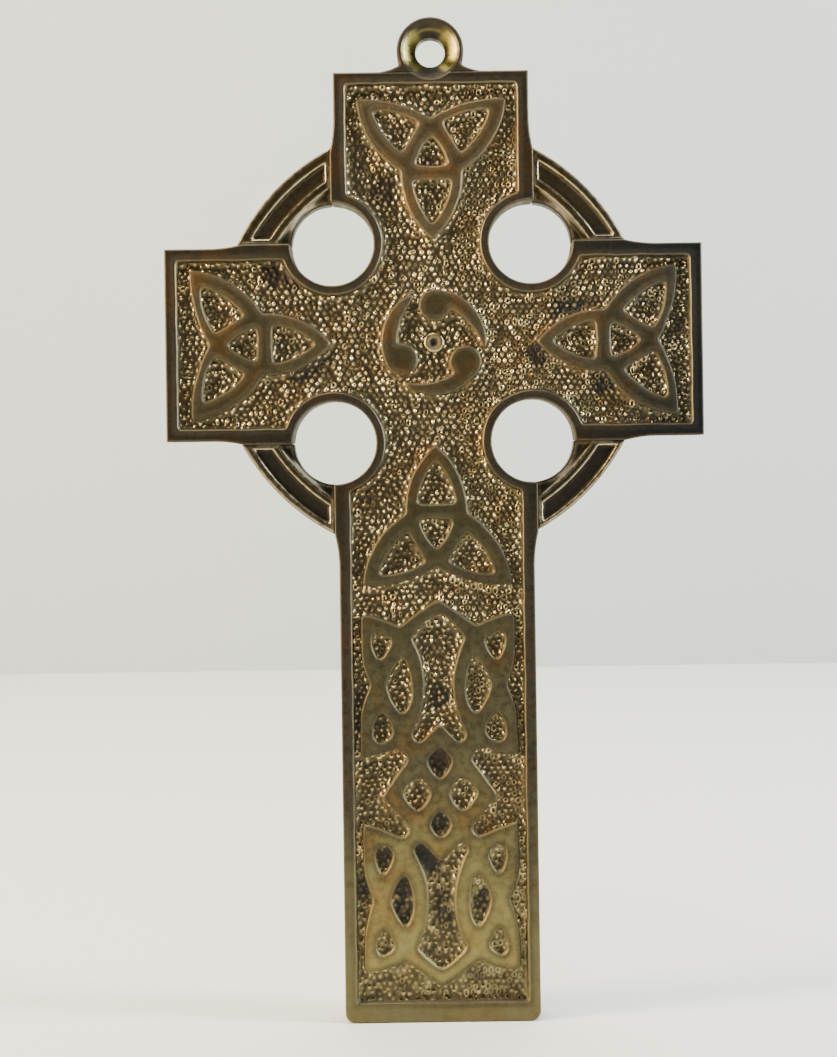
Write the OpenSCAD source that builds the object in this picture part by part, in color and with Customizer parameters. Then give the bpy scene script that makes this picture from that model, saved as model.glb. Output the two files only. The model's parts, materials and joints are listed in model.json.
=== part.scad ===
// Ringed wall cross in cast brass, with a hanging eye.
//
// Frame: +X to the right, +Z up, the carved front faces -Y, origin at the middle of the foot.
// The cross is one casting. Each of its regions is a closed solid of its own, as a pattern is
// built up: the web, the ring's quadrants, the border mouldings, the pebbled grounds, the
// knotwork and the eye. They meet face to face.

/* [Cross] */
// Height of the top arm's upper edge above the foot
cross_h = 204.4; // [196:0.2:214]
// Width of the shaft and of the top arm
shaft_w = 42; // [41:0.5:43]
// Width across both side arms
span_w = 115.6; // [113:0.2:122]
// Height of the side arms
arm_h = 41.4; // [40.6:0.2:42.6]
// Height of the crossing's centre above the foot
centre_z = 146.2; // [145:0.2:148]
// How far a side arm's end bulges
end_bulge = 0.9; // [0.3:0.1:1.5]
// Thickness from the border's face to the flat back
thick = 7; // [6:0.5:9]
// Radius of the foot's two corners
foot_r = 2.2; // [0.4:0.2:3]
// How much each arm widens where it meets the ring
arm_flare = 0.9; // [0.3:0.1:1.2]

/* [Ring] */
// Outer radius of the ring
ring_r = 46.8; // [46:0.2:48]
// Radius of the ring's inner edge
ring_inner_r = 40; // [39.6:0.1:40.4]
// Inner and outer radius of the groove between the ring's ribs
ring_groove_r = [41.9, 45]; // [41:0.1:45.4]
// Depth of the groove between the ribs
ring_groove = 0.9; // [0.4:0.1:1.4]
// How far the ribs lie behind the border's face
ring_set_back = 0.7; // [0.3:0.1:1.2]

/* [Openings] */
// Radius of the four round openings
opening_r = 9; // [8.4:0.1:9.2]
// Distance of an opening's centre from the crossing's centre, across and up
opening_offset = 21.4; // [21.2:0.1:21.5]

/* [Border] */
// Width of the border
border_w = 2.4; // [1.8:0.1:2.8]
// Width of the border across the foot
foot_border_w = 4.1; // [3:0.1:5]
// Width of the collar round an opening
collar_w = 1.8; // [1.2:0.1:2]
// Depth of the pebbled ground below the border's face
relief_h = 1.3; // [1:0.1:1.6]
// Thickness of the pebbled layer
ground_t = 0.4; // [0.3:0.1:0.6]

/* [Knotwork] */
// How far the knotwork lies behind the border's face
knot_set_back = 0.2; // [0.1:0.1:0.4]
// Distance from the crossing's centre to the inward tip of each triquetra
knot_gap = 21.7; // [21:0.1:22]
// Rounding of the knotwork's corners
knot_round = 0.5; // [0.3:0.1:0.6]
// Outer radius of the triskele
triskele_r = 11.2; // [10:0.1:12]
// Outer radius of the bead rim at the crossing's centre
bead_r = 2.1; // [1.8:0.1:2.6]

/* [Eye] */
// Outer radius of the hanging eye
eye_r = 7.2; // [7:0.1:8]
// Radius of the eye's bore
eye_bore_r = 3.2; // [2.8:0.1:3.5]
// Height of the eye's centre above the top arm
eye_rise = 4.6; // [4.4:0.1:5]
// Thickness of the eye
eye_t = 5; // [4:0.1:5.5]
// Radius and depth of the dish round the eye's bore
eye_dish = [6.4, 2.2]; // [1.8:0.1:6.6]

/* [Hidden] */
$fn = 96;

big = 300;
brass_dark = "#5b4a2c";
brass_mid = "#7d6a3c";
brass_pale = "#a08a4e";

front_y = -thick / 2;
back_y = thick / 2;
ground_y = front_y + relief_h;
web_y = ground_y + ground_t;
knot_y = front_y + knot_set_back;

half_shaft = shaft_w / 2;
half_span = span_w / 2;
half_arm = arm_h / 2;
// Radius of the shallow arc that ends a side arm
end_r = (half_arm * half_arm + end_bulge * end_bulge) / (2 * end_bulge);
collar_r = opening_r + collar_w;
// Half the square round the crossing that holds the four collars
collar_square = opening_offset + collar_r;
// The pattern's ring and openings sit a little off the arms' centre
ring_shift = [-0.4, 0.5];
opening_shift = [-0.3, 0];
rib_y = front_y + ring_set_back;
groove_y = rib_y + ring_groove;
spandrel_y = 0;
// Distances from the crossing's centre where an arm's flare starts and is widest
flare_far = 48;
flare_near = 41;

eye_z = cross_h + eye_rise;
eye_chamfer = 0.6;
neck_fillet_r = 12;
neck_reach = 12.5;
neck_h = 2;

// Side windows' tips and heights on the centre line, where the shaft's knotwork is divided
lattice_tip_high = [9.2, 59.4];
lattice_tip_low = [8.3, 39.4];
lattice_mid_high = 59.5;
lattice_mid_low = 39.1;
lattice_side_high = [12.8, 55];
lattice_side_low = [12.8, 44];
lattice_mid_z = (lattice_mid_low + lattice_mid_high) / 2;

// Outlines are lists of [x, z, bow] that run anticlockwise. bow is how far the stretch to the
// next point swells outwards.

// One half of the shaft's knotwork, from its lower point up the right side to its upper point
knot_half = [
  [0, 7.5, 0], [8.2, 13.5, 0.9], [16.8, 11.2, 0], [16.5, 19.5, 0.2], [14.4, 26.3, 0.3],
  [16.6, 33, 0], [16.6, 42, 0], [16.9, 42.7, 0.2], [8.3, 39.4, -0.8], [6.7, 42.4, 0],
  [12.4, 48.6, 0], [6.6, 56.2, -0.5], [9.2, 59.4, 0.5], [17, 57.3, 0], [16.7, 66, 0.3],
  [14.5, 72.4, 0.3], [16.4, 79, 0], [16.5, 87.6, 0.4], [8.2, 84.7, 0.2], [0, 90.7, 0]
];

// Openings that lie on the centre line, one half of each
knot_openings_half = [
  [[0, 10.9, 0.3], [5.6, 15.9, -2.9], [6, 36.8, 0.5], [4.3, 39, 0], [0, 34.6, 0]],
  [[0, 39.2, 0.4], [2.6, 42.4, 0.2], [0, 45.8, 0]],
  [[0, 51.9, 0.35], [3, 56, 0.35], [0, 59.3, 0]],
  [[0, 64, 0], [4.3, 59.6, 0.4], [6, 62, -2.75], [5.9, 82.7, 0.5], [0, 88.2, 0]]
];

// Openings on the right of the centre line, which the left repeats
knot_openings_side = [
  [[13.2, 13.9, 0.2], [14.2, 15.5, 0.6], [12.4, 20.7, 0.4], [10, 15.9, 0.2]],
  [[7.8, 19.7, 0.5], [11, 26.2, 0.5], [7.7, 32.5, 0.4], [6, 26, 0.7]],
  [[12.6, 31, 0.3], [14.3, 35.5, 0], [14, 37.7, 0.2], [11.8, 38.1, 0.3], [10, 35.8, 0.3]],
  [[4.9, 45, 0.4], [8.4, 49.5, 0.4], [4.7, 53.1, 0.4], [1.8, 49, 0.4]],
  [[12.9, 59.8, 0.5], [14.4, 62, 0.7], [12.2, 67.1, 0.5], [9.8, 62.2, 0.5]],
  [[7.9, 65.7, 0.5], [11.4, 72.4, 0.4], [7.7, 79.2, 0.5], [5.7, 72, 0.8]],
  [[12.6, 77.3, 0.4], [14.5, 81.8, 0], [14.3, 84.1, 0.2], [10.2, 83.1, 0], [9.9, 81.7, 0.3]]
];

// A triquetra with its inward tip at the bottom, one half
triquetra_half = [[0, 0.6, 1.9], [6.5, 15.3, 2.2], [16.1, 30.6, 1.2], [0, 26.4, 0]];
triquetra_openings_half = [
  [[0, 3.5, 0.9], [4.3, 13.2, 0], [0, 13.4, 0]],
  [[0, 16.1, 0.1], [3.8, 16.5, 0.6], [0, 23, 0]]
];
triquetra_petal = [[6.3, 18.8, 0.9], [12.8, 28.4, 1], [2.3, 25.6, 0.1]];

// Points along one stretch of an outline
function bowed_stretch(a, b) =
  let (chord = [b.x - a.x, b.y - a.y], outward = [chord.y, -chord.x] / norm(chord))
  a.z == 0
    ? [[a.x, a.y]]
    : [for (t = [0:0.125:0.875]) [a.x, a.y] + chord * t + outward * 4 * a.z * t * (1 - t)];

// The whole outline, with its bowed stretches drawn out
function bowed(points) =
  [for (i = [0:len(points) - 1]) each bowed_stretch(points[i], points[(i + 1) % len(points)])];

// A half outline joined to its mirror image
function doubled(half) = concat(
  [for (i = [0:len(half) - 2]) half[i]],
  [for (i = [len(half) - 1:-1:1]) [-half[i].x, half[i].y, half[i - 1].z]]
);

// A front elevation drawn in X and Z, made solid between two depths
module slab(y_near, y_far) {
  rotate([90, 0, 0]) translate([0, 0, -y_far]) linear_extrude(y_far - y_near) children();
}

// Puts a drawing's own centre at the crossing
module at_crossing() {
  translate([0, centre_z]) children();
}

// The flared stretch of an arm, given the arm's half width. turn is as in arm_zone.
module flare(turn, half_width) {
  wide = half_width + arm_flare;
  half = [
    [0, opening_offset, 0], [wide, opening_offset, 0], [wide, flare_near, -0.2],
    [half_width, flare_far, 0], [0, flare_far, 0]
  ];
  at_crossing() rotate(turn) polygon(bowed(doubled(half)));
}

// The cross's outline, with flared arms, bulging arm ends and rounded foot corners
module cross_outline() {
  for (turn = [0, 180]) flare(turn, half_shaft);
  for (turn = [90, 270]) flare(turn, half_arm);
  translate([-half_shaft, foot_r]) square([shaft_w, cross_h - foot_r]);
  translate([foot_r - half_shaft, 0]) square([shaft_w - 2 * foot_r, foot_r]);
  for (side = [-1, 1]) translate([side * (half_shaft - foot_r), foot_r]) circle(foot_r);
  at_crossing() intersection() {
    square([span_w, arm_h], center = true);
    for (side = [-1, 1]) translate([side * (end_r - half_span), 0]) circle(end_r, $fn = 360);
  }
}

// The ground inside the border
module panel_outline() {
  inset = border_w;
  difference() {
    union() {
      translate([inset - half_shaft, foot_border_w])
        square([shaft_w - 2 * inset, cross_h - foot_border_w - inset]);
      at_crossing() square([span_w - 2 * inset, arm_h - 2 * inset], center = true);
    }
    at_openings() circle(collar_r);
  }
}

// Repeats a drawing at the four openings
module at_openings() {
  at_crossing() translate(opening_shift)
    for (x = [-1, 1], z = [-1, 1]) translate([x, z] * opening_offset) children();
}

module border_outline() {
  difference() {
    cross_outline();
    panel_outline();
    at_openings() circle(opening_r);
  }
}

// A half plane that holds one arm, from a distance out from the crossing's centre.
// turn is 0 for the top arm, 90 for the left, 180 for the shaft and 270 for the right.
module arm_zone(turn, from) {
  at_crossing() rotate(turn) translate([-big / 2, from]) square([big, big]);
}

// A quarter plane at the crossing, on the side given by two signs
module quarter_zone(x, z) {
  at_crossing() translate([min(x, 0), min(z, 0)] * big) square(big);
}

// The solid board behind everything, with four round bites in its inner corners
module web() {
  color(brass_mid) slab(web_y, back_y) difference() {
    cross_outline();
    at_openings() circle(opening_r);
  }
}

// One quadrant of the ring, between two arms: ribs and groove, and a lower spandrel inside
module ring_quadrant(x, z) {
  color(brass_mid) difference() {
    slab(rib_y, back_y) intersection() {
      difference() {
        at_crossing() translate(ring_shift) circle(ring_r);
        cross_outline();
        at_openings() circle(opening_r);
      }
      quarter_zone(x, z);
    }
    slab(front_y, groove_y) at_crossing() difference() {
      circle(ring_groove_r[1]);
      circle(ring_groove_r[0]);
    }
    slab(front_y, spandrel_y) at_crossing() circle(ring_inner_r);
  }
}

module ring_upper_left() { ring_quadrant(-1, 1); }
module ring_upper_right() { ring_quadrant(1, 1); }
module ring_lower_left() { ring_quadrant(-1, -1); }
module ring_lower_right() { ring_quadrant(1, -1); }

// Turns a section, drawn as radius and depth, about the eye's axis
module turned_about_eye() {
  translate([0, 0, eye_z]) rotate([90, 0, 0]) rotate_extrude() mirror([0, 1]) children();
}

// The dish round the eye's bore, which also bites into the border below
module dish() {
  turned_about_eye() polygon([
    [0, front_y - 1], [eye_dish[0], front_y - 1], [eye_dish[0], front_y],
    [eye_bore_r, front_y + eye_dish[1]], [0, front_y + eye_dish[1]]
  ]);
}

// The neck that the eye stands on, with a hollow fillet at each side
module neck() {
  slab(front_y + eye_chamfer, front_y + eye_t) difference() {
    translate([-neck_reach, cross_h]) square([2 * neck_reach, neck_h]);
    for (side = [-1, 1])
      translate([side * neck_reach, cross_h + neck_fillet_r]) circle(neck_fillet_r);
  }
}

// The disc that the eye is cut from, chamfered round its rim
module eye_disc() {
  turned_about_eye() polygon([
    [0, front_y], [eye_r - eye_chamfer, front_y], [eye_r, front_y + eye_chamfer],
    [eye_r, front_y + eye_t - eye_chamfer], [eye_r - eye_chamfer, front_y + eye_t],
    [0, front_y + eye_t]
  ]);
}

module hanging_eye() {
  color(brass_pale) difference() {
    union() {
      neck();
      intersection() {
        eye_disc();
        translate([-big / 2, -big / 2, cross_h]) cube(big);
      }
    }
    dish();
    translate([0, 0, eye_z]) rotate([90, 0, 0]) cylinder(r = eye_bore_r, h = big, center = true);
  }
}

// The border of one arm, out from the crossing's collars
module border(turn) {
  color(brass_dark) difference() {
    slab(front_y, web_y) intersection() {
      border_outline();
      arm_zone(turn, collar_square);
    }
    dish();
  }
}

module border_top_arm() { border(0); }
module border_left_arm() { border(90); }
module border_shaft() { border(180); }
module border_right_arm() { border(270); }

// The border's collar round one opening
module collar(x, z) {
  color(brass_dark) slab(front_y, web_y) intersection() {
    border_outline();
    at_crossing() square(2 * collar_square, center = true);
    quarter_zone(x, z);
  }
}

module collar_upper_left() { collar(-1, 1); }
module collar_upper_right() { collar(1, 1); }
module collar_lower_left() { collar(-1, -1); }
module collar_lower_right() { collar(1, -1); }

// The pebbled ground of one arm, drawn plain
module ground(turn) {
  color(brass_pale) slab(ground_y, web_y) intersection() {
    panel_outline();
    arm_zone(turn, collar_square);
  }
}

module ground_top_arm() { ground(0); }
module ground_left_arm() { ground(90); }
module ground_shaft() { ground(180); }
module ground_right_arm() { ground(270); }

module ground_crossing() {
  color(brass_pale) slab(ground_y, web_y) intersection() {
    panel_outline();
    at_crossing() square(2 * collar_square, center = true);
  }
}

// Rounds the outward corners of a drawing
module softened() {
  offset(r = knot_round, $fn = 24) offset(delta = -knot_round) children();
}

// A three-lobed knot whose inward tip points at the crossing
module triquetra(turn) {
  color(brass_dark) slab(knot_y, ground_y) at_crossing() rotate(turn) translate([0, knot_gap])
    difference() {
      polygon(bowed(doubled(triquetra_half)));
      for (opening = triquetra_openings_half) softened() polygon(bowed(doubled(opening)));
      for (side = [0, 1]) mirror([side, 0]) softened() polygon(bowed(triquetra_petal));
    }
}

module triquetra_top() { triquetra(0); }
module triquetra_left() { triquetra(90); }
module triquetra_bottom() { triquetra(180); }
module triquetra_right() { triquetra(270); }

// One comma of the triskele: a round head, and a tail that thins as it sweeps clockwise
module comma(turn) {
  head_r = 0.29 * triskele_r;
  tail_end = 0.09 * triskele_r;
  color(brass_dark) slab(knot_y, ground_y) at_crossing() rotate(turn) {
    translate([0.03 * triskele_r, triskele_r - head_r]) circle(head_r);
    intersection() {
      difference() {
        circle(triskele_r);
        translate([-0.27, -0.465] * triskele_r) circle(1.27 * triskele_r);
      }
      translate([0, -tail_end]) square(2 * triskele_r);
    }
  }
}

module triskele_comma_1() { comma(0); }
module triskele_comma_2() { comma(-120); }
module triskele_comma_3() { comma(120); }

// The small raised rim round a pit at the crossing's centre
module centre_bead() {
  color(brass_pale) slab(ground_y - 0.6, ground_y) at_crossing() difference() {
    circle(bead_r);
    circle(0.55 * bead_r);
  }
}

// The stretch of the shaft that the lattice fills, from one pair of window tips to the other
module lattice_zone() {
  points = [
    [0, lattice_mid_low], lattice_tip_low, lattice_side_low, lattice_side_high,
    lattice_tip_high, [0, lattice_mid_high]
  ];
  polygon(bowed(doubled([for (p = points) [p.x, p.y, 0]])));
}

// The whole of the shaft's knotwork: a crossed figure, a lattice and a crossed figure
module knot_outline() {
  difference() {
    polygon(bowed(doubled(knot_half)));
    for (opening = knot_openings_half) softened() polygon(bowed(doubled(opening)));
    for (side = [0, 1], opening = knot_openings_side)
      mirror([side, 0]) softened() polygon(bowed(opening));
  }
}

// One of the two figures, above or below the lattice
module knot_figure(from_z, to_z) {
  color(brass_dark) slab(knot_y, ground_y) intersection() {
    difference() {
      knot_outline();
      lattice_zone();
    }
    translate([-half_shaft, from_z]) square([shaft_w, to_z - from_z]);
  }
}

module knot_upper() { knot_figure(lattice_mid_z, centre_z); }
module knot_lower() { knot_figure(0, lattice_mid_z); }

module knot_lattice() {
  color(brass_dark) slab(knot_y, ground_y) intersection() {
    knot_outline();
    lattice_zone();
  }
}

web();
ring_upper_left();
ring_upper_right();
ring_lower_left();
ring_lower_right();
hanging_eye();
border_top_arm();
border_left_arm();
border_right_arm();
border_shaft();
collar_upper_left();
collar_upper_right();
collar_lower_left();
collar_lower_right();
ground_top_arm();
ground_left_arm();
ground_right_arm();
ground_crossing();
ground_shaft();
triquetra_top();
triquetra_left();
triquetra_right();
triquetra_bottom();
triskele_comma_1();
triskele_comma_2();
triskele_comma_3();
centre_bead();
knot_upper();
knot_lattice();
knot_lower();
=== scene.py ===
import json
import math

import bpy
import numpy as np
from mathutils import Euler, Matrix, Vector


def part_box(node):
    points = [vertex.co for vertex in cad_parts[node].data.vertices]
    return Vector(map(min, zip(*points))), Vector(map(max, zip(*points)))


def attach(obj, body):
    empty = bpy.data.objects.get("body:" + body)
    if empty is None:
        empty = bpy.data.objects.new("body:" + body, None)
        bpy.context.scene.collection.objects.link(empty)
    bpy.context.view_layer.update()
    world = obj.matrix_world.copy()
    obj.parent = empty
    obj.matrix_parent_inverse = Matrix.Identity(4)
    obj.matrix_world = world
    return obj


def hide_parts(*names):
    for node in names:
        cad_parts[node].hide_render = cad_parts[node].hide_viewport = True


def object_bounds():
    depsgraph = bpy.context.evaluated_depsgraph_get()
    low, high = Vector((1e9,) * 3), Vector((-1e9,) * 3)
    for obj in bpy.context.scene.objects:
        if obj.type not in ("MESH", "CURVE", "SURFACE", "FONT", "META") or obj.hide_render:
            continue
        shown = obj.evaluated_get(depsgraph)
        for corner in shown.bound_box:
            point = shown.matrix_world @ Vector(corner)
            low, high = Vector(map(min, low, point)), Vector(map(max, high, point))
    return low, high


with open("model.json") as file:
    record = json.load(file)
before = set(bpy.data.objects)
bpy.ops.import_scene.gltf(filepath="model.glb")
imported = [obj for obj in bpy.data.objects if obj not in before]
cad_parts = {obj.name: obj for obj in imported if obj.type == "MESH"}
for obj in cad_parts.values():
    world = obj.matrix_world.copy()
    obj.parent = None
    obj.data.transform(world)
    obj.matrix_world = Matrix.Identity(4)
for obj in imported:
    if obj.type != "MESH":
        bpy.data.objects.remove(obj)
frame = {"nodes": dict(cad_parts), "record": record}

cad_box = [[float(c) for c in corner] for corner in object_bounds()]

# Lengths are in millimetres up to the point where a mesh is made.
MM = 0.001
# The fields' grid spacing, and how far from an outline distances are worked out
STEP = 0.2
BAND = 3.0
# The grids start off round numbers, so that no grid line runs along an outline.
MARGIN, LOW_MARGIN_X, LOW_MARGIN_Z = 1, 1.037, 1.041
record = frame["record"]

BORDERS = ["border_top_arm", "border_left_arm", "border_right_arm", "border_shaft"]
COLLARS = ["collar_upper_left", "collar_upper_right", "collar_lower_left", "collar_lower_right"]
RINGS = ["ring_upper_left", "ring_upper_right", "ring_lower_left", "ring_lower_right"]
GROUNDS = ["ground_top_arm", "ground_left_arm", "ground_right_arm", "ground_crossing", "ground_shaft"]
KNOTS = ["knot_upper", "knot_lattice", "knot_lower"]
FIGURES = ["triquetra_top", "triquetra_left", "triquetra_right", "triquetra_bottom",
           "triskele_comma_1", "triskele_comma_2", "triskele_comma_3"]


def box_mm(node):
    return [[c / MM for c in corner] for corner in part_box(node)]


# Depths and places that the CAD gives
face_y = box_mm("border_shaft")[0][1]
web_y = box_mm("web")[0][1]
back_y = box_mm("web")[1][1]
ground_y = box_mm("ground_shaft")[0][1]
knot_y = box_mm("knot_upper")[0][1]
rib_y = box_mm("ring_upper_left")[0][1]
arm_box = box_mm("border_left_arm")
centre_z = (arm_box[0][2] + arm_box[1][2]) / 2
top_z = box_mm("web")[1][2]
eye_mount = next(m for m in record["mounts"] if m["name"] == "hanging_eye")
eye_z = eye_mount["pos_m"][2] / MM
bore_r = eye_mount["dims"]["r_mm"]
eye_r = box_mm("hanging_eye")[1][2] - eye_z


# ---------- fields over the front elevation ----------

class Grid:
    """A square lattice in X and Z."""

    def __init__(self, x0, x1, z0, z1, step):
        self.step = step
        self.x = np.arange(x0, x1 + step, step)
        self.z = np.arange(z0, z1 + step, step)
        self.px, self.pz = np.meshgrid(self.x, self.z)


def outline(name):
    """The edges round a node's flat back face, as rows of x1, z1, x2, z2."""
    mesh = frame["nodes"][name].data
    mesh.calc_loop_triangles()
    co = np.empty(len(mesh.vertices) * 3)
    mesh.vertices.foreach_get("co", co)
    co = co.reshape(-1, 3) / MM
    tri = np.empty(len(mesh.loop_triangles) * 3, dtype=np.int64)
    mesh.loop_triangles.foreach_get("vertices", tri)
    tri = tri.reshape(-1, 3)
    tri = tri[(np.abs(co[tri][:, :, 1] - co[:, 1].max()) < 2e-3).all(axis=1)]
    points, index = np.unique(np.round(co[:, [0, 2]], 3), axis=0, return_inverse=True)
    tri = index.reshape(-1)[tri]
    edges = np.sort(np.concatenate([tri[:, [0, 1]], tri[:, [1, 2]], tri[:, [2, 0]]]), axis=1)
    edges = edges[edges[:, 0] != edges[:, 1]]
    edges, uses = np.unique(edges, axis=0, return_counts=True)
    edges = edges[uses == 1]
    return np.hstack([points[edges[:, 0]], points[edges[:, 1]]])


def joined(names):
    """The outlines of several nodes, without the edges where two of them touch."""
    parts = [outline(n) for n in names]
    kept = []
    for i, own in enumerate(parts):
        others = np.vstack([p for j, p in enumerate(parts) if j != i])
        for row in own:
            mid = (row[:2] + row[2:]) / 2
            start, run = others[:, :2], others[:, 2:] - others[:, :2]
            t = np.clip(((mid - start) * run).sum(1) / (run * run).sum(1), 0, 1)
            gap = np.hypot(*(mid - start - run * t[:, None]).T)
            if gap.min() > 0.01:
                kept.append(row)
    return np.array(kept)


def signed(grid, segments):
    """Distance to an outline, positive inside it, up to BAND."""
    near = np.full(grid.px.shape, BAND * BAND)
    for x1, z1, x2, z2 in segments:
        i0 = max(int((min(x1, x2) - BAND - grid.x[0]) / grid.step), 0)
        i1 = max(int((max(x1, x2) + BAND - grid.x[0]) / grid.step) + 2, 0)
        j0 = max(int((min(z1, z2) - BAND - grid.z[0]) / grid.step), 0)
        j1 = max(int((max(z1, z2) + BAND - grid.z[0]) / grid.step) + 2, 0)
        px = grid.x[None, i0:i1] - x1
        pz = grid.z[j0:j1, None] - z1
        ex, ez = x2 - x1, z2 - z1
        t = np.clip((px * ex + pz * ez) / (ex * ex + ez * ez), 0, 1)
        part = near[j0:j1, i0:i1]
        np.minimum(part, (px - t * ex) ** 2 + (pz - t * ez) ** 2, out=part)
    x1, z1, x2, z2 = segments.T
    inside = np.zeros(grid.px.shape, dtype=bool)
    for j, z in enumerate(grid.z):
        hit = (z1 <= z) != (z2 <= z)
        if hit.any():
            at = x1[hit] + (x2[hit] - x1[hit]) * (z - z1[hit]) / (z2[hit] - z1[hit])
            inside[j] = np.searchsorted(np.sort(at), grid.x) % 2 == 1
    return np.where(inside, 1, -1) * np.sqrt(near)


def spline_weights(places, count):
    """Cubic B-spline weights of lattice values at the given places."""
    weights = np.zeros((len(places), count))
    cell = np.floor(places).astype(int)
    t = places - cell
    taps = [(1 - t) ** 3, 3 * t ** 3 - 6 * t ** 2 + 4, -3 * t ** 3 + 3 * t ** 2 + 3 * t + 1, t ** 3]
    rows = np.arange(len(places))
    for k, tap in enumerate(taps):
        weights[rows, cell + k] += tap / 6
    return weights


def uneven(grid, scale, seed):
    """Smooth noise of about -1 to 1 whose bumps are scale across."""
    u = (grid.x - grid.x[0]) / scale
    v = (grid.z - grid.z[0]) / scale
    lattice = np.random.default_rng(seed).uniform(-1.6, 1.6, (int(v[-1]) + 5, int(u[-1]) + 5))
    return spline_weights(v, lattice.shape[0]) @ lattice @ spline_weights(u, lattice.shape[1]).T


def soft(field, radius):
    """A field blurred a little, which rounds the corners of its outline."""
    cells = 12
    weights = np.exp(-0.5 * (np.arange(-cells, cells + 1) * STEP / radius) ** 2)
    weights /= weights.sum()
    for axis in (0, 1):
        padded = np.pad(field, [(cells, cells) if k == axis else (0, 0) for k in (0, 1)], mode="edge")
        size = field.shape[axis]
        field = sum(w * np.take(padded, range(k, k + size), axis) for k, w in enumerate(weights))
    return field


def ease(t):
    """A smooth rise from 0 to 1."""
    t = np.clip(t, 0, 1)
    return t * t * (3 - 2 * t)


def bell(value, width):
    """1 where the value is 0, and close to 0 beyond twice the width."""
    return np.exp(-(value / width) ** 2)


def rounded(distance, radius):
    """How far a rounded edge has dropped at a distance in from the edge."""
    d = np.clip(distance, 0, radius)
    return radius - np.sqrt(np.maximum(radius ** 2 - (radius - d) ** 2, 0))


# ---------- meshes ----------

def walk(case):
    """A cell's polygon as corners 0 to 3 and edge points 4 to 7, anticlockwise."""
    out = []
    for k in range(4):
        here, there = case >> k & 1, case >> (k + 1) % 4 & 1
        if here:
            out.append(k)
        if here != there:
            out.append(4 + k)
    return out


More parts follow.
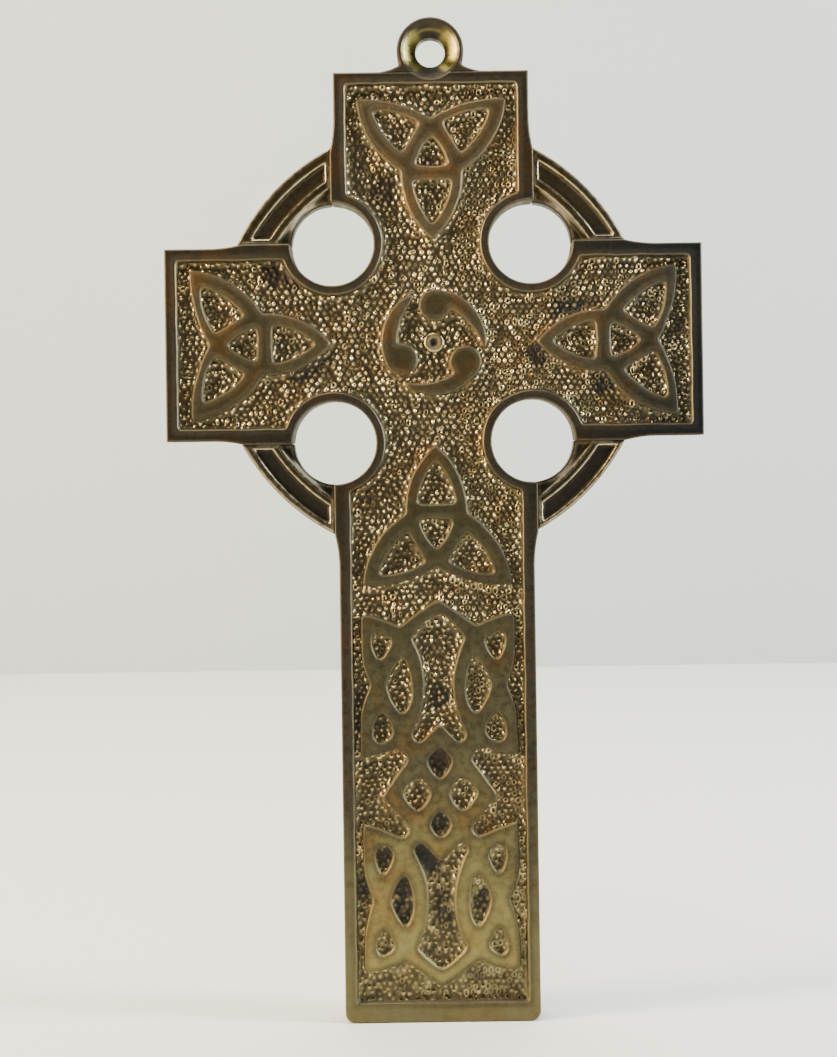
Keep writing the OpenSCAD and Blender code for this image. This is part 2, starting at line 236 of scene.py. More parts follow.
def plate(name, grid, region, front, back, fields, material, node, rear=None):
    """A closed piece over the part of the grid where region is positive, between two depths.

    The fields become point attributes, and the rear face has its own when rear is given."""
    # The part of the grid that the piece needs, as layers of values
    rows = np.flatnonzero((region > 0).any(axis=1))
    cols = np.flatnonzero((region > 0).any(axis=0))
    js = slice(max(rows[0] - 1, 0), rows[-1] + 2)
    is_ = slice(max(cols[0] - 1, 0), cols[-1] + 2)
    f = region[js, is_]
    tiny = 0.02 * grid.step
    f = np.where(np.abs(f) < tiny, np.where(f > 0, tiny, -tiny), f)
    layers = [grid.px[js, is_], grid.pz[js, is_]]
    layers += [np.broadcast_to(a, region.shape)[js, is_] for a in (front, back)]
    layers += [np.broadcast_to(a, region.shape)[js, is_] for a in fields.values()]
    layers += [np.broadcast_to(a, region.shape)[js, is_] for a in (rear or fields).values()]
    # A point at each corner inside the outline, and one where a grid edge crosses it
    inside = f > 0
    nz, nx = f.shape
    corner_id = np.full(f.shape, -1)
    corner_id[inside] = np.arange(inside.sum())
    data = [np.stack([a[inside] for a in layers], axis=1)]
    count = len(data[0])
    crossing = []
    for down in (0, 1):
        a = f[:nz - down, :nx - 1 + down]
        b = f[down:, 1 - down:]
        cut = (a > 0) != (b > 0)
        ids = np.full(a.shape, -1)
        ids[cut] = count + np.arange(cut.sum())
        count += cut.sum()
        t = (a[cut] / (a[cut] - b[cut]))[:, None]
        low = np.stack([v[:nz - down, :nx - 1 + down][cut] for v in layers], axis=1)
        high = np.stack([v[down:, 1 - down:][cut] for v in layers], axis=1)
        data.append(low + (high - low) * t)
        crossing.append(ids)
    data = np.vstack(data)
    across, up = crossing
    # Whole cells are quads. Cells that the outline cuts are triangles, and rim holds their cut edges.
    ids = [corner_id[:-1, :-1], corner_id[:-1, 1:], corner_id[1:, 1:], corner_id[1:, :-1],
           across[:-1, :], up[:, 1:], across[1:, :], up[:, :-1]]
    case = sum((ids[k] >= 0).astype(int) << k for k in range(4))
    quads = np.stack([ids[k][case == 15] for k in range(4)], axis=1)
    tris, rim = [], []
    for c in range(1, 15):
        here = case == c
        if not here.any():
            continue
        poly = walk(c)
        got = [ids[k][here] for k in poly]
        for k in range(1, len(poly) - 1):
            tris.append(np.stack([got[0], got[k], got[k + 1]], axis=1))
        for k in range(len(poly)):
            if poly[k - 1] >= 4 and poly[k] >= 4:
                rim.append(np.stack([got[k - 1], got[k]], axis=1))
    tris, rim = np.vstack(tris), np.vstack(rim)

    # The rear is one polygon where it is flat and has one edge loop, and otherwise the front's mirror
    after = dict(zip(rim[:, 0].tolist(), rim[:, 1].tolist()))
    loop = [int(rim[0, 0])]
    while after[loop[-1]] != loop[0]:
        loop.append(after[loop[-1]])
    total = len(data)
    if len(loop) == len(rim) and np.ptp(data[loop, 3]) < 1e-9:
        low = np.full(total, -1)
        low[loop] = total + np.arange(len(loop))
        under = data[loop]
        under_quads, under_tris, under_loop = quads[:0], tris[:0], low[loop[::-1]]
    else:
        low = total + np.arange(total)
        under = data
        under_quads, under_tris, under_loop = low[quads][:, ::-1], low[tris][:, ::-1], []
    sides = np.stack([rim[:, 1], rim[:, 0], low[rim[:, 0]], low[rim[:, 1]]], axis=1)
    co = np.vstack([data[:, [0, 2, 1]], under[:, [0, 3, 1]]]) * MM

    mesh = bpy.data.meshes.new(name)
    four = np.vstack([quads, under_quads, sides])
    three = np.vstack([tris, under_tris])
    corners = np.concatenate([four.ravel(), three.ravel(), np.array(under_loop, dtype=int)])
    sizes = [4] * len(four) + [3] * len(three) + ([len(under_loop)] if len(under_loop) else [])
    mesh.vertices.add(len(co))
    mesh.vertices.foreach_set("co", co.ravel())
    mesh.loops.add(len(corners))
    mesh.loops.foreach_set("vertex_index", corners.astype(np.int32))
    mesh.polygons.add(len(sizes))
    mesh.polygons.foreach_set("loop_start", np.concatenate([[0], np.cumsum(sizes)[:-1]]).astype(np.int32))
    mesh.update(calc_edges=True)
    mesh.validate()
    mesh.polygons.foreach_set("use_smooth", np.ones(len(mesh.polygons), dtype=bool))
    mesh.set_sharp_from_angle(angle=math.radians(52))
    for k, key in enumerate(fields):
        values = np.concatenate([data[:, 4 + k], under[:, 4 + len(fields) + k]]).astype(np.float32)
        mesh.attributes.new(key, "FLOAT", "POINT").data.foreach_set("value", values)
    mesh.materials.append(material)
    piece = bpy.data.objects.new(name, mesh)
    bpy.context.scene.collection.objects.link(piece)
    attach(piece, "root")
    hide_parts(node)
    return piece


# ---------- materials ----------

class Nodes:
    """Short calls for building one material's nodes."""

    def __init__(self, name):
        self.material = bpy.data.materials.new(name)
        self.material.use_nodes = True
        self.tree = self.material.node_tree
        self.tree.nodes.clear()

    def new(self, kind, **settings):
        node = self.tree.nodes.new(kind)
        for key, value in settings.items():
            setattr(node, key, value)
        return node

    def put(self, socket, value):
        if isinstance(value, bpy.types.NodeSocket):
            self.tree.links.new(value, socket)
        else:
            socket.default_value = value

    def math(self, operation, *values, clamp=False):
        node = self.new("ShaderNodeMath", operation=operation, use_clamp=clamp)
        for socket, value in zip(node.inputs, values):
            self.put(socket, value)
        return node.outputs[0]

    def stretch(self, vector, scale):
        node = self.new("ShaderNodeVectorMath", operation="MULTIPLY")
        self.put(node.inputs[0], vector)
        self.put(node.inputs[1], scale)
        return node.outputs[0]

    def noise(self, vector, scale, detail=3.0, roughness=0.55):
        node = self.new("ShaderNodeTexNoise")
        self.put(node.inputs["Vector"], vector)
        node.inputs["Scale"].default_value = scale
        node.inputs["Detail"].default_value = detail
        node.inputs["Roughness"].default_value = roughness
        return node.outputs[0]

    def ranged(self, value, low, high, to_low=0.0, to_high=1.0):
        node = self.new("ShaderNodeMapRange", interpolation_type="SMOOTHSTEP")
        for socket, v in zip(node.inputs, (value, low, high, to_low, to_high)):
            self.put(socket, v)
        return node.outputs[0]

    def mix(self, factor, a, b):
        """A blend of two colours, or of two other values taken as greys."""
        node = self.new("ShaderNodeMix", data_type="RGBA")
        self.put(node.inputs[0], factor)
        self.put(node.inputs[6], a)
        self.put(node.inputs[7], b)
        return node.outputs[2]

    def attribute(self, name):
        return self.new("ShaderNodeAttribute", attribute_name=name).outputs["Fac"]


# Where the flats' colour changes: heights for the foot and the top, and distances right of the middle beyond
# which the arm is darker and greyer
FOOT_TONE, TOP_TONE, RIGHT_TONE = (0.0, 64.0), (118.0, 190.0), (22.0, 55.0)
# How far these heights wander with the noise
WANDER = 40.0


def brass(name, top, waist, foot, bright, dull_rough, bright_rough, marks, stains=1.0):
    """Aged brass: tarnished flats, metal made bright by wear and by painted highlights, and darkened by dirt
    and by painted shade.
    """
    n = Nodes(name)
    place = n.new("ShaderNodeTexCoord").outputs["Object"]
    mm = n.stretch(place, (1 / MM, 1 / MM, 1 / MM))
    split = n.new("ShaderNodeSeparateXYZ")
    n.put(split.inputs[0], mm)
    across, height = split.outputs[0], split.outputs[2]
    wear_and_highlight, grime_and_shade, soot = n.attribute("wear_and_highlight"), n.attribute("grime_and_shade"), n.attribute("soot")

    broad = n.noise(mm, 0.035, 2.0)
    patch = n.noise(mm, 0.13, 3.0)
    mottle = n.noise(mm, 0.7, 4.0)
    speck = n.noise(mm, 4.0, 3.0)
    along = n.noise(n.stretch(mm, (0.10, 1.0, 7.0)), 1.0, 2.0)
    upward = n.noise(n.stretch(mm, (6.0, 1.0, 0.12)), 1.0, 2.0)
    brushed = n.mix(n.ranged(patch, 0.42, 0.58), along, upward)

    climb = n.math("ADD", height, n.math("MULTIPLY", n.math("SUBTRACT", broad, 0.5), WANDER))
    climb = n.math("ADD", climb, n.math("MULTIPLY", n.math("SUBTRACT", patch, 0.5), WANDER))
    flat = n.mix(n.ranged(climb, *TOP_TONE), waist, top)
    flat = n.mix(n.ranged(climb, *FOOT_TONE), foot, flat)
    flat = n.mix(n.ranged(across, *RIGHT_TONE, 0.0, 0.8), flat, n.stretch(flat, (0.45, 0.60, 0.95)))
    stain = n.ranged(climb, *FOOT_TONE, 0.2 * stains, stains)
    russet = n.math("MULTIPLY", stain, n.ranged(patch, 0.47, 0.66, 0.0, 0.75))
    flat = n.mix(russet, flat, n.stretch(flat, (1.45, 1.0, 0.7)))
    dapple = n.math("MULTIPLY", stain, n.ranged(mottle, 0.4, 0.7, 0.0, 0.75))
    flat = n.mix(dapple, flat, n.stretch(flat, (0.45, 0.45, 0.45)))
    flat = n.mix(n.ranged(speck, 0.5, 0.75, 0.0, 0.15), flat, [c * 1.7 for c in foot[:3]] + [1.0])
    # The wear attribute paints bright metal: rubbed edges and pebble tops, and also painted highlights on
    # lit walls and in the eye's dish.
    rub_and_highlight = n.math("MULTIPLY", wear_and_highlight, n.ranged(mottle, 0.25, 0.6, 0.2, 1.0), clamp=True)
    colour = n.mix(rub_and_highlight, flat, bright)
    # The grime and soot attributes paint the colour dark: dirt in the hollows, and also painted shade along
    # edges, on walls, in grooves and in the eye's dish.
    dirt_and_shade = n.math("MULTIPLY", grime_and_shade, n.ranged(speck, 0.25, 0.7, 1.0, 0.55))
    dirt_and_shade = n.math("ADD", dirt_and_shade, soot, clamp=True)
    black = n.mix(n.ranged(patch, 0.42, 0.62), (0.022, 0.014, 0.007, 1.0), (0.008, 0.010, 0.007, 1.0))
    colour = n.mix(dirt_and_shade, colour, black)

    polish = n.math("MULTIPLY", rub_and_highlight, 1.8, clamp=True)
    rough = n.mix(polish, (dull_rough,) * 3 + (1.0,), (bright_rough,) * 3 + (1.0,))
    rough = n.math("ADD", rough, n.math("MULTIPLY", dirt_and_shade, 0.3))
    rough = n.math("ADD", rough, n.ranged(mottle, 0.3, 0.7, -0.06, 0.08), clamp=True)

    grain = n.math("ADD", n.math("MULTIPLY", brushed, marks), n.math("MULTIPLY", speck, 0.5))
    bump = n.new("ShaderNodeBump")
    bump.inputs["Strength"].default_value = 0.3
    bump.inputs["Distance"].default_value = 0.04 * MM
    n.put(bump.inputs["Height"], grain)

    shader = n.new("ShaderNodeBsdfPrincipled")
    n.put(shader.inputs["Base Color"], colour)
    n.put(shader.inputs["Roughness"], rough)
    n.put(shader.inputs["Metallic"], n.math("SUBTRACT", 1.0, n.math("MULTIPLY", dirt_and_shade, 0.9), clamp=True))
    shader.inputs["Specular IOR Level"].default_value = 0.25
    n.put(shader.inputs["Normal"], bump.outputs[0])
    n.put(n.new("ShaderNodeOutputMaterial").inputs[0], shader.outputs[0])
    return n.material


GOLD = (0.78, 0.61, 0.31, 1.0)
figure_metal = brass("aged_brass_figures", (0.148, 0.120, 0.069, 1.0), (0.066, 0.060, 0.035, 1.0),
                     (0.210, 0.178, 0.069, 1.0), GOLD, 0.42, 0.2, 0.8)
border_metal = brass("aged_brass_border", (0.075, 0.066, 0.047, 1.0), (0.039, 0.036, 0.028, 1.0),
                     (0.114, 0.101, 0.050, 1.0), GOLD, 0.42, 0.2, 1.0)
ground_metal = brass("aged_brass_ground", (0.165, 0.133, 0.068, 1.0), (0.135, 0.110, 0.055, 1.0),
                     (0.146, 0.122, 0.060, 1.0), (0.78, 0.62, 0.33, 1.0), 0.28, 0.17, 0.2)
ring_metal = brass("aged_brass_ring", (0.085, 0.070, 0.038, 1.0), (0.026, 0.024, 0.020, 1.0),
                   (0.026, 0.024, 0.020, 1.0), (0.72, 0.60, 0.38, 1.0), 0.38, 0.2, 0.6)
eye_metal = brass("brass_eye_painted_highlight", (0.048, 0.041, 0.027, 1.0), (0.048, 0.041, 0.027, 1.0),
                  (0.048, 0.041, 0.027, 1.0), (0.150, 0.130, 0.038, 1.0), 0.36, 0.3, 0.3)
back_metal = brass("cast_brass_back", (0.15, 0.120, 0.058, 1.0), (0.11, 0.088, 0.044, 1.0),
                   (0.21, 0.165, 0.076, 1.0), GOLD, 0.48, 0.35, 1.2, 0.3)


# ---------- fields of this cross ----------

lo, hi = [[c / MM for c in corner] for corner in cad_box]
area = (lo[0] - LOW_MARGIN_X, hi[0] + MARGIN, lo[2] - LOW_MARGIN_Z, top_z + MARGIN)
grid = Grid(*area, STEP)
px, pz = grid.px, grid.pz
wave = uneven(grid, 2.6, 11)
slow = uneven(grid, 9.0, 12)
own = {n: signed(grid, outline(n)) for n in BORDERS + COLLARS + RINGS + GROUNDS + KNOTS + FIGURES}
d_web = signed(grid, outline("web"))
d_panel = soft(signed(grid, joined(GROUNDS)), 0.35)
d_knots = soft(signed(grid, joined(KNOTS)), 0.6)


def share(name, names):
    """Positive where a node is nearer than every other one in its group."""
    others = np.max([own[n] for n in names if n != name], axis=0)
    return (own[name] - others) / 2


# The eye's dish, which also bites into the border below it
DISH_R, DISH_DEPTH = eye_r - 0.8, 2.2


def dish(g):
    """Depth of the eye's dish, which is steepest at its rim and deepest at the bore."""
    t = np.clip((DISH_R - np.hypot(g.px, g.pz - eye_z)) / (DISH_R - bore_r), 0, 1)
    return DISH_DEPTH * (0.45 * t + 0.55 * np.sin(t * math.pi / 2))


# Black dirt that has stayed in some of the recesses: across, height, radius and strength
SOOT = [(0, 56.3, 2.4, 1.0), (0, 43.5, 2, 0.8), (-3.6, 35.5, 2.6, 1.0), (-8, 28, 2.6, 0.9),
        (-12, 36, 1.8, 0.8), (-8, 24, 3, 0.7), (-17.5, 30, 3, 0.7), (-18, 66, 5, 0.5),
        (-34.5, 160.5, 2.6, 0.9), (-31, 160, 2, 0.7), (22, 144, 1.8, 0.8), (36.5, 138, 2, 0.7),
        (0, 70, 2, 0.4), (10, 26, 2, 0.5), (1, 24, 3, 0.4), (-27, 141, 3, 0.4),
        (29, 152, 3, 0.5), (-10, 179, 2, 0.6), (0, 183, 2, 0.5), (9, 187, 2, 0.4)]
soot = np.zeros(px.shape)
for at_x, at_z, size, strength in SOOT:
    spot = strength * ease(1.7 - np.hypot(px - at_x, pz - at_z) / size + 0.5 * wave)
    soot = np.maximum(soot, spot)

# The rim: borders and collars. Its inner wall slopes over this width.
WALL = 0.95
foot_line = box_mm("ground_shaft")[0][2]
inner = d_panel + 0.10 * wave
fall = ease((inner + 0.15) / (WALL + 0.15))
drop = (ground_y - face_y + 0.4) * fall
edge_drop = rounded(d_web, 0.4)
bite = dish(grid)
rim_y = face_y + np.maximum(np.maximum(drop, edge_drop), bite) + 0.04 * (1 + slow) * (fall < 1)
# Bright lines on the inner wall and along the outer edge: rubbed edges, partly painted highlights.
rim_wear_and_highlight = np.maximum(0.15 * bell(inner - 0.25, 0.3), 0.05 * bell(d_web - 0.1, 0.2))
rim_wear_and_highlight *= 1 - bell(pz - foot_line, 1.6)
# Darkened: the lower inner wall and a line along the top of the foot, as dirt with painted shade; the eye's
# dish where it bites in, a band on the face beside each opening and the rounded outer edge, as painted
# shade.
rim_grime_and_shade = np.maximum(ease((fall - 0.5) / 0.5), ease(bite / 0.4))
rim_grime_and_shade = np.maximum(rim_grime_and_shade, (0.45 + 0.25 * slow) * bell(inner + 0.6, 0.5))
rim_grime_and_shade = np.maximum(rim_grime_and_shade, 0.7 * bell(d_web, 0.25))
rim_grime_and_shade = np.maximum(rim_grime_and_shade, bell(pz - foot_line - 0.2, 0.9) * ease(fall / 0.2))
for name in BORDERS + COLLARS:
    region = np.minimum(np.minimum(d_web, WALL - d_panel), share(name, BORDERS + COLLARS))
    plate("cast_" + name, grid, region, rim_y, web_y,
          {"wear_and_highlight": rim_wear_and_highlight, "grime_and_shade": rim_grime_and_shade, "soot": soot * fall}, border_metal, name)


# Knotwork and figures. Their walls slope outwards over this width.
SKIRT = 0.85


def carve(distance):
    """Depth, wear with painted highlight, grime with painted shade, and soot of a raised figure, from the
    distance to its outline.
    """
    d = distance + 0.10 * wave
    t = ease((d + SKIRT * 0.9) / (SKIRT * 0.9 + 0.18))
    dome = 0.04 * (1 + slow) + 0.09 * (1 - ease(d / 1.3))
    y = knot_y + (ground_y - knot_y + 0.35) * (1 - t) + dome * t
    # Painted shade: a dark band along the top just inside the outline, and the wall's foot darkened as dirt
    # with painted shade; a bright line down the wall is wear with painted highlight.
    grime_and_shade = np.maximum(0.7 * ease((0.35 - t) / 0.3), (0.66 + 0.3 * slow) * bell(d - 0.25, 0.55))
    return y, {"wear_and_highlight": 0.15 * bell(d + 0.3, 0.3), "grime_and_shade": grime_and_shade, "soot": soot * (1 - t)}


knots_y, knots_fields = carve(d_knots)
for name in KNOTS:
    region = np.minimum(d_knots + SKIRT, share(name, KNOTS))
    plate("cast_" + name, grid, region, knots_y, web_y, knots_fields, figure_metal, name)
for name in FIGURES:
    d = soft(own[name], 0.4)
    y, fields = carve(d)
    plate("cast_" + name, grid, d + SKIRT, y, web_y, fields, figure_metal, name)

# The bead at the centre, with a pit in it
bead_box = box_mm("centre_bead")
bead_x = (bead_box[0][0] + bead_box[1][0]) / 2
bead_z = (bead_box[0][2] + bead_box[1][2]) / 2
bead_r = (bead_box[1][0] - bead_box[0][0]) / 2
from_bead = np.hypot(px - bead_x, pz - bead_z)
dome = np.sqrt(np.maximum(1 - (from_bead / (bead_r + 0.2)) ** 2, 0)) - 0.97 * bell(from_bead, 1.1)
# The pit's middle is painted black, as dirt with painted shade.
plate("cast_centre_bead", grid, bead_r + 0.15 - from_bead, ground_y + 0.25 - 1.1 * dome, web_y,
      {"wear_and_highlight": 0.4 * ease((dome - 0.1) / 0.5), "grime_and_shade": bell(from_bead, 1.3), "soot": bell(from_bead, 0.95)},
      ground_metal, "centre_bead")


# The pebbled ground
rng = np.random.default_rng(42)
PITCH, ROW = 1.36, 0.87
# Right of this the pebbles stand in tidier rows, and many are rings
RIGHT_HALF = 5
# How many cells a pebble reaches
REACH = 6
raised = np.maximum(-d_panel, d_knots)
for name in FIGURES:
    raised = np.maximum(raised, own[name])
pebble = np.zeros(px.shape)
row = 0
z = grid.z[0]
while z < grid.z[-1]:
    for x in np.arange(grid.x[0] + (row % 2) * PITCH / 2, grid.x[-1], PITCH):
        loose = 0.18 if x > RIGHT_HALF else 0.36
        at_x, at_z = x + rng.uniform(-loose, loose), z + rng.uniform(-loose, loose)
        size, tall = rng.uniform(0.42, 0.66), rng.uniform(0.28, 0.5)
        kind, squash = rng.uniform(), rng.uniform(0.95, 1.35)
        i, j = int((at_x - grid.x[0]) / STEP), int((at_z - grid.z[0]) / STEP)
        if not (REACH < i < px.shape[1] - REACH - 1 and REACH < j < px.shape[0] - REACH - 1):
            continue
        if raised[j, i] > 0.25 or d_panel[j, i] < -1:
            continue
        part = (slice(j - REACH + 1, j + REACH + 1), slice(i - REACH + 1, i + REACH + 1))
        q = np.hypot((px[part] - at_x) * squash, (pz[part] - at_z) / squash) / size
        if kind < (0.45 if at_x > RIGHT_HALF else 0.1):
            bump = 0.85 * bell(q - 0.85, 0.4)
        else:
            bump = 1.15 * bell(q, 0.8)
        pebble[part] = (pebble[part] ** 3 + (tall * bump) ** 3) ** (1 / 3)
    z += PITCH * ROW
    row += 1
# The shaft's lower end is rubbed flatter
dull = ease((75 - pz) / 50)
pebble *= 1 - 0.45 * dull
pebble += 0.07 * dull * (1 + uneven(grid, 0.62, 53))
pebble += 0.035 * uneven(grid, 0.7, 51) + 0.06 * uneven(grid, 1.7, 52)
pebble *= ease((0.5 - raised) / 0.5)
# Between the pebbles the ground rises a little towards the figures and the rim
ramp = ease((raised + 1.7) / 1.7)
low_y = ground_y + 0.30 + 0.06 * slow - 0.5 * ramp
# Flat and low where the bead covers it
pebble *= ease((from_bead - bead_r + 0.2) / 0.4)
low_y += (web_y - 0.06 - low_y) * ease((bead_r - from_bead) / 0.4)
# Pebble tops are rubbed bright; the hollows between them are dark with dirt and painted shade, less so near
# the figures and the rim.
ground_fields = {"wear_and_highlight": ease((pebble - 0.25 + 0.05 * dull) / 0.22) * (0.95 - 0.5 * dull),
                 "grime_and_shade": (1 - 0.4 * ramp) * (1 - ease((pebble - 0.06 + 0.02 * dull) / (0.3 - 0.1 * dull))),
                 "soot": soot}
for name in GROUNDS:
    plate("cast_" + name, grid, own[name], low_y - pebble, web_y, ground_fields,
          ground_metal, name)


# The ring's quadrants
GROOVE_R0, GROOVE_R1, GROOVE_END, GROOVE_DEPTH = 41.9, 45.0, 1.2, 0.95
SHELF_R, SHELF_Y = 40.2, 0.0
# The outer edge is rounded from here outwards, the inner wall is painted in full shade within, the ribs are
# worn beyond
LIP_R, DARK_WALL_R, WORN_R, NO_EDGE = 44, 41, 38, 9.0
ring_r = np.hypot(px, pz - centre_z)
groove_in = np.minimum(np.minimum(ring_r - GROOVE_R0, GROOVE_R1 - ring_r), -d_web - GROOVE_END)
groove = GROOVE_DEPTH * ease((groove_in + 0.35) / 0.75)
inner_edge = ring_r - SHELF_R
shelf = (SHELF_Y - rib_y) * ease(-inner_edge / 0.9)
slope = 0.9 * ease((-inner_edge - 0.9) / 6.0)
for name in RINGS:
    d = own[name]
    lip = rounded(np.where(ring_r > LIP_R, d, NO_EDGE), 0.5)
    y = rib_y + np.maximum(np.maximum(groove, lip), shelf + slope) + 0.03 * (1 + slow)
    # Bright lines along the groove's edges, the inner edge and the outer edge: rubbed edges, partly painted
    # highlights.
    wear_and_highlight = np.maximum(bell(groove_in + 0.3, 0.3), bell(inner_edge - 0.1, 0.3)) * (ring_r > WORN_R)
    wear_and_highlight = np.maximum(wear_and_highlight, bell(d - 0.45, 0.3))
    # Dark in the groove and on the shelf inside the ring, as dirt with painted shade, and painted shade on
    # the walls: full on the inner wall, less on the outer, and some on the rear.
    grime_and_shade = np.maximum(ease(groove_in / 0.4), ease((-inner_edge - 0.5) / 0.5) * 0.9)
    wall_shade = bell(d, 0.35) * np.where(ring_r < DARK_WALL_R, 1.0, 0.4)
    plate("cast_" + name, grid, d, y, back_y - rounded(d, 0.4),
          {"wear_and_highlight": 0.5 * wear_and_highlight, "grime_and_shade": np.maximum(0.75 * grime_and_shade, wall_shade), "soot": 0.0},
          ring_metal, name,
          {"wear_and_highlight": 0.17 + 0.25 * bell(d - 0.45, 0.3), "grime_and_shade": 0.7 * wall_shade, "soot": 0.0})


# The web, seen from behind
coarse = Grid(*area, 3 * STEP)
d = signed(coarse, outline("web"))
y = back_y - rounded(d, 0.6) - 0.05 * (1 + uneven(coarse, 14.0, 21)) - 0.03 * (1 + uneven(coarse, 4.0, 22))
plate("cast_web", coarse, d, web_y, np.minimum(y, back_y),
      {"wear_and_highlight": 0.5 * bell(d - 0.5, 0.3), "grime_and_shade": 0.85 * bell(d, 0.5), "soot": 0.0},
      back_metal, "web")


# The hanging eye and its neck
NECK_REACH, NECK_H, NECK_R = 12.5, 2.0, 12.0
FINE_STEP, BLEND = 0.15, 0.8
# Radius of the painted highlight arc across the dish's upper half
ARC_R = 4.8
EYE_BACK = box_mm("hanging_eye")[1][1]
fine = Grid(-NECK_REACH - 1.013, NECK_REACH + MARGIN, top_z - 1.017, eye_z + eye_r + MARGIN, FINE_STEP)
from_eye = np.hypot(fine.px, fine.pz - eye_z)
disc = eye_r - from_eye
fillet = np.hypot(np.abs(fine.px) - NECK_REACH, fine.pz - top_z - NECK_R) - NECK_R
neck = np.minimum(np.minimum(fillet, NECK_REACH - np.abs(fine.px)), top_z + NECK_H - fine.pz)
near_both = np.maximum(0.25 - np.abs(disc - neck) / (4 * BLEND), 0)
both = np.maximum(disc, neck) + BLEND * near_both ** 2 * 4
region = np.minimum(np.minimum(both, from_eye - bore_r), fine.pz - top_z)
y = face_y + np.maximum(rounded(both, 0.7), dish(fine)) + 0.02 * (1 + uneven(fine, 3.0, 31))
rear = EYE_BACK - rounded(np.minimum(both, from_eye - bore_r), 0.8)
sideways = np.abs(fine.px) / np.maximum(from_eye, 1.0)
in_dish = ease((DISH_R - 0.4 - from_eye) / 0.6)
# Painted highlights: the dish's left and right sides, where the side lamps shine in it, and an arc across
# its upper half.
wear_and_highlight = 2.2 * in_dish * ease((sideways - 0.35) / 0.55)
painted_highlight_arc = bell(from_eye - ARC_R, 0.35) * ease((fine.pz - eye_z - 1.5) / 2.0)
wear_and_highlight = np.maximum(wear_and_highlight, 0.7 * painted_highlight_arc)
# Painted shade: the dish's top and bottom, and the rounded outer edge beyond the dish.
painted_dish_shade = ease((DISH_R + 0.2 - from_eye) / 0.4) * (1 - ease((sideways - 0.3) / 0.5)) * (1 - 0.8 * painted_highlight_arc)
painted_dish_shade = np.maximum(painted_dish_shade, 0.8 * ease((from_eye - DISH_R + 0.1) / 0.3))
plate("cast_hanging_eye", fine, region, y, rear, {"wear_and_highlight": wear_and_highlight, "grime_and_shade": painted_dish_shade, "soot": 0.0},
      eye_metal, "hanging_eye")


# ---------- stage, lights and camera ----------

def plain(name, colour, roughness):
    """Plain pale paper."""
    n = Nodes(name)
    place = n.new("ShaderNodeTexCoord").outputs["Object"]
    bump = n.new("ShaderNodeBump")
    bump.inputs["Strength"].default_value = 0.12
    bump.inputs["Distance"].default_value = 0.0003
    n.put(bump.inputs["Height"], n.noise(place, 900.0, 2.0))
    shader = n.new("ShaderNodeBsdfPrincipled")
    shader.inputs["Base Color"].default_value = colour
    shader.inputs["Roughness"].default_value = roughness
    n.put(shader.inputs["Normal"], bump.outputs[0])
    n.put(n.new("ShaderNodeOutputMaterial").inputs[0], shader.outputs[0])
    return n.material


floor_paper = plain("floor_paper", (0.68, 0.69, 0.64, 1.0), 0.9)
wall_paper = plain("wall_paper", (0.43, 0.47, 0.46, 1.0), 0.95)


def sheet(name, corners, material):
    """A flat piece of the stage."""
    mesh = bpy.data.meshes.new(name)
    mesh.from_pydata(corners, [], [tuple(range(len(corners)))])
    mesh.materials.append(material)
    obj = bpy.data.objects.new(name, mesh)
    bpy.context.scene.collection.objects.link(obj)


# Metres
WALL_Y = 0.5
SIDE, NEAR_Y = 2.5, -2.0
WALL_FOOT, WALL_TOP = -0.01, 2.2
sheet("floor", [(-SIDE, NEAR_Y, 0), (SIDE, NEAR_Y, 0), (SIDE, WALL_Y, 0), (-SIDE, WALL_Y, 0)], floor_paper)
sheet("backdrop", [(-SIDE, WALL_Y, WALL_FOOT), (SIDE, WALL_Y, WALL_FOOT),
                   (SIDE, WALL_Y, WALL_TOP), (-SIDE, WALL_Y, WALL_TOP)], wall_paper)


def lamp(name, place, aim, width, height, power, colour):
    """A soft rectangular lamp, in metres and watts."""
    data = bpy.data.lights.new(name, "AREA")
    data.shape = "RECTANGLE"
    data.size, data.size_y = width, height
    data.energy, data.color = power, colour
    obj = bpy.data.objects.new(name, data)
    obj.location = place
    obj.rotation_euler = (Vector(aim) - Vector(place)).to_track_quat("-Z", "Y").to_euler()
    bpy.context.scene.collection.objects.link(obj)


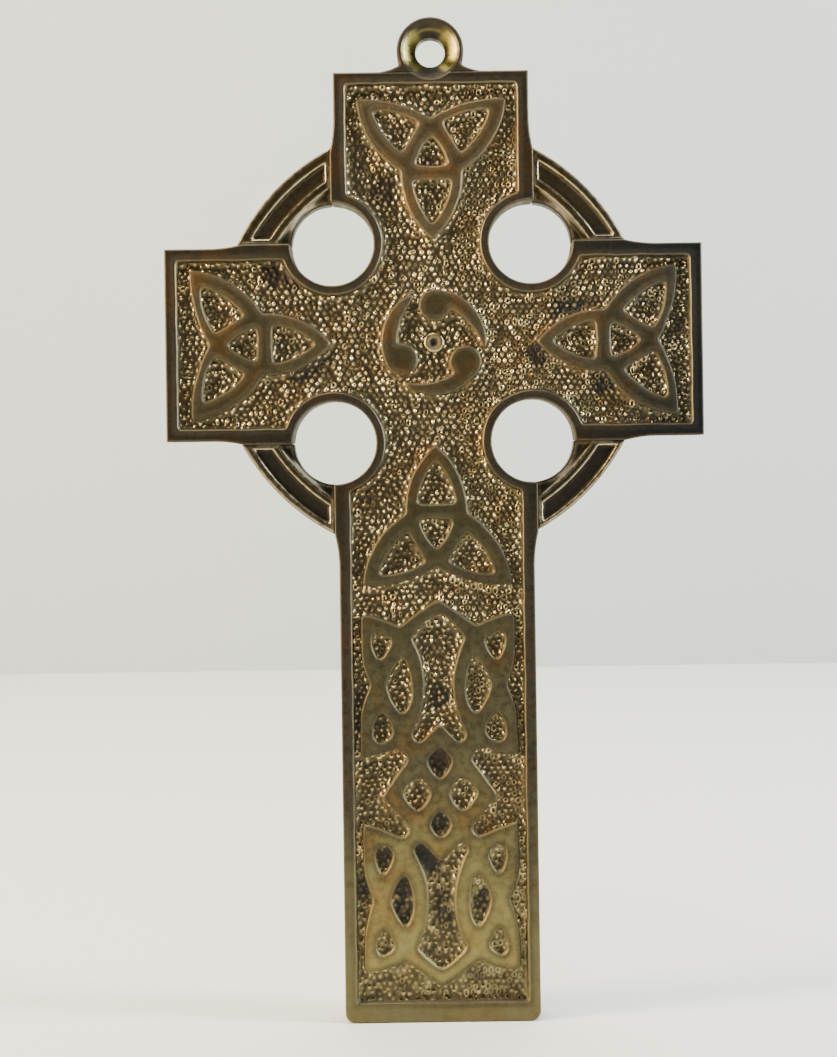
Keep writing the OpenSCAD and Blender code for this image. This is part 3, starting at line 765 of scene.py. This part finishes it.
middle = (0, 0, centre_z * MM)
lamp("warm_left", (-0.75, -0.16, 0.32), middle, 0.16, 0.7, 25.0, (1.0, 0.77, 0.48))
lamp("cool_right", (0.75, -0.10, 0.36), middle, 0.11, 0.7, 18.0, (0.86, 0.95, 1.0))
lamp("above", (-0.15, -0.22, 0.80), middle, 0.5, 0.08, 4.0, (1.0, 0.92, 0.78))
lamp("overhead", (0, 0.22, 1.0), (0, 0.2, 0), 1.0, 0.9, 14.0, (1.0, 0.98, 0.95))
lamp("back_wall", (0, 0.05, 1.2), (0, 0.5, 0.2), 1.2, 0.4, 6.0, (0.97, 0.98, 1.0))

# The room is darker in front of the cross than beside it and behind it.
world = bpy.data.worlds.new("studio")
world.use_nodes = True
bpy.context.scene.world = world
tree = world.node_tree
tree.nodes.clear()
direction = tree.nodes.new("ShaderNodeTexCoord")
split = tree.nodes.new("ShaderNodeSeparateXYZ")
side = tree.nodes.new("ShaderNodeMapRange")
side.interpolation_type = "SMOOTHSTEP"
side.inputs["From Min"].default_value = -0.95
side.inputs["From Max"].default_value = -0.1
tone = tree.nodes.new("ShaderNodeMix")
tone.data_type = "RGBA"
tone.inputs[6].default_value = (0.075, 0.072, 0.070, 1.0)
tone.inputs[7].default_value = (0.17, 0.175, 0.185, 1.0)
glow = tree.nodes.new("ShaderNodeBackground")
out = tree.nodes.new("ShaderNodeOutputWorld")
tree.links.new(direction.outputs["Generated"], split.inputs[0])
tree.links.new(split.outputs[1], side.inputs["Value"])
tree.links.new(side.outputs[0], tone.inputs[0])
tree.links.new(tone.outputs[2], glow.inputs[0])
tree.links.new(glow.outputs[0], out.inputs[0])

# The camera faces the cross squarely, level with the crossing, and a little shift frames it. In metres:
# the height that the view takes in at the face, the distance to it, and the shifts. ROLL is in degrees.
VIEW_H, DISTANCE, LEVEL = 0.2270, 0.2965, 0.121
SHIFT_X, SHIFT_Z = -0.00368, -0.01485
SENSOR, ROLL = 24, 0.8
camera_data = bpy.data.cameras.new("camera")
camera_data.sensor_fit = "VERTICAL"
camera_data.sensor_height = SENSOR
camera_data.lens = SENSOR * DISTANCE / VIEW_H
camera_data.shift_x = SHIFT_X / VIEW_H
camera_data.shift_y = SHIFT_Z / VIEW_H
camera = bpy.data.objects.new("camera", camera_data)
camera.location = (0, face_y * MM - DISTANCE, LEVEL)
camera.rotation_euler = Euler((math.radians(90), math.radians(ROLL), 0))
bpy.context.scene.collection.objects.link(camera)
bpy.context.scene.camera = camera
